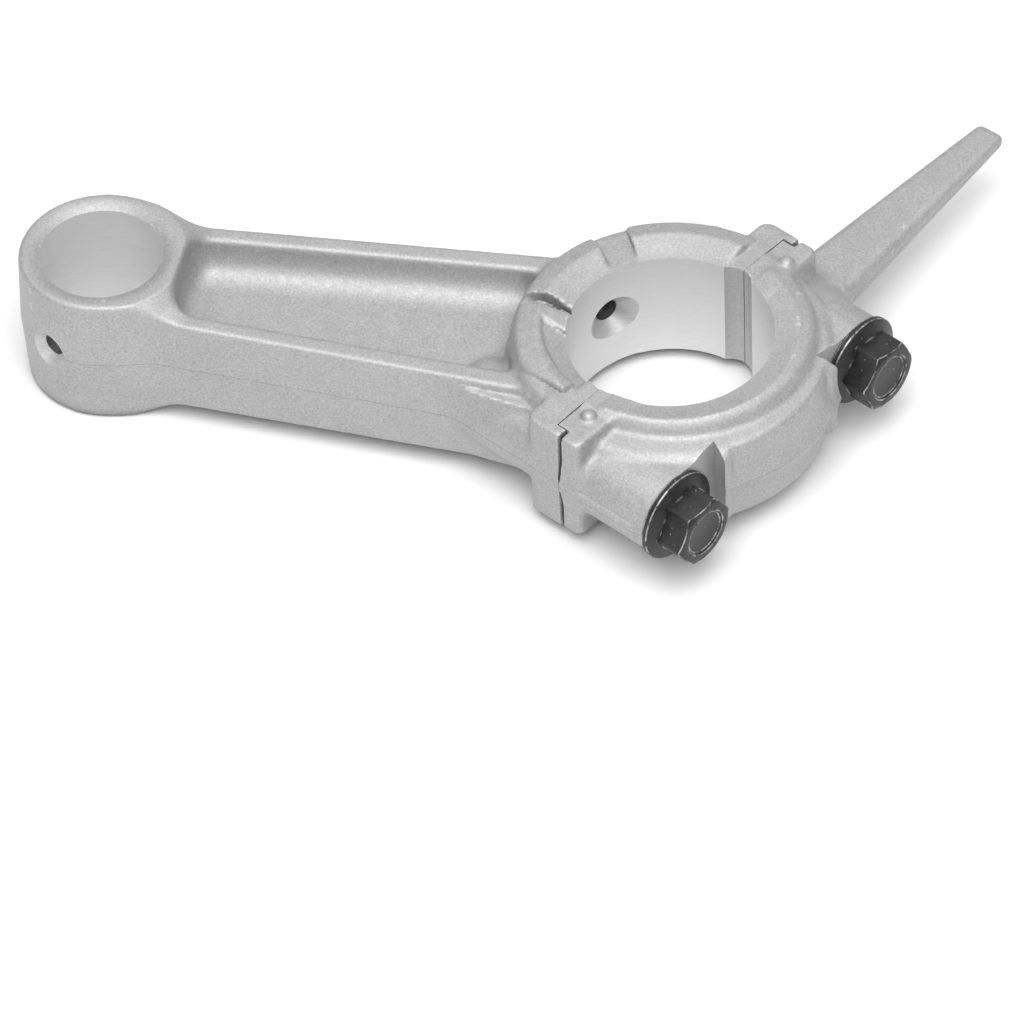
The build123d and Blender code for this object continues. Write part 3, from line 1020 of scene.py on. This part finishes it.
# brightness of the surroundings by height, from below to above, and how far they dim to the sides
SKY_STOPS = ((0.0, 0.40), (0.4, 0.66), (0.8, 0.98), (1.0, 1.0))
DIM_FROM = 0.35
DIM_TO = 0.95
SKY_AHEAD = 1.05
SKY_ASIDE = 0.45
LAMP_PLACE = (0.1, -0.48, 1.1)
LAMP_TARGET = (-0.03, 0, 0)
LAMP_SIZE = 1.0
LAMP_WATTS = 15.5
AZIMUTH = 13.848851
ELEVATION = 46.197539
ROLL = -2.594594
DISTANCE = 1.054835
AIM = (-0.0170026, -0.0304195, 0.0)
LENS = 261.87
SENSOR = 36


def make_floor():
    corners = [(-1, -1), (1, -1), (1, 1), (-1, 1)]
    places = [(x * FLOOR_REACH, y * FLOOR_REACH, FLOOR_Z) for x, y in corners]
    make_object("floor", places, [(0, 1, 2, 3)], plain("floor", FLOOR_GREY, 0.8, 0))


def make_surroundings():
    """Even pale surroundings that are brighter above and dimmer to the left and right."""
    world = bpy.data.worlds.new("studio")
    bpy.context.scene.world = world
    world.use_nodes = True
    nodes = world.node_tree.nodes
    links = world.node_tree.links
    heading = nodes.new("ShaderNodeSeparateXYZ")
    links.new(nodes.new("ShaderNodeTexCoord").outputs["Generated"], heading.inputs[0])
    sky = nodes.new("ShaderNodeValToRGB")
    while len(sky.color_ramp.elements) < len(SKY_STOPS):
        sky.color_ramp.elements.new(0.5)
    for element, (position, grey) in zip(sky.color_ramp.elements, SKY_STOPS):
        element.position = position
        element.color = (grey, grey, grey, 1)
    links.new(heading.outputs["Z"], sky.inputs["Fac"])
    aside = nodes.new("ShaderNodeMath")
    aside.operation = "ABSOLUTE"
    links.new(heading.outputs["X"], aside.inputs[0])
    dim = nodes.new("ShaderNodeMapRange")
    dim.inputs["From Min"].default_value = DIM_FROM
    dim.inputs["From Max"].default_value = DIM_TO
    dim.inputs["To Min"].default_value = SKY_AHEAD
    dim.inputs["To Max"].default_value = SKY_ASIDE
    links.new(aside.outputs[0], dim.inputs["Value"])
    links.new(sky.outputs["Color"], nodes["Background"].inputs["Color"])
    links.new(dim.outputs["Result"], nodes["Background"].inputs["Strength"])


def make_lamp():
    data = bpy.data.lights.new("front", "AREA")
    data.energy = LAMP_WATTS
    data.size = LAMP_SIZE
    lamp = bpy.data.objects.new("front", data)
    lamp.location = LAMP_PLACE
    aim = Vector(LAMP_TARGET) - Vector(LAMP_PLACE)
    lamp.rotation_euler = aim.to_track_quat("-Z", "Y").to_euler()
    bpy.context.scene.collection.objects.link(lamp)


def make_camera():
    """Camera that looks at AIM from DISTANCE, turned and raised from straight ahead."""
    data = bpy.data.cameras.new("camera")
    data.lens = LENS
    data.sensor_width = SENSOR
    data.clip_start = 0.05
    camera = bpy.data.objects.new("camera", data)
    bpy.context.scene.collection.objects.link(camera)
    camera.matrix_world = (
        Matrix.Translation(AIM)
        @ Matrix.Rotation(math.radians(AZIMUTH), 4, "Z")
        @ Matrix.Rotation(math.radians(90 - ELEVATION), 4, "X")
        @ Matrix.Rotation(math.radians(ROLL), 4, "Z")
        @ Matrix.Translation((0, 0, DISTANCE))
    )
    bpy.context.scene.camera = camera


make_floor()
make_surroundings()
make_lamp()
make_camera()
bpy.context.scene.view_settings.view_transform = "Standard"
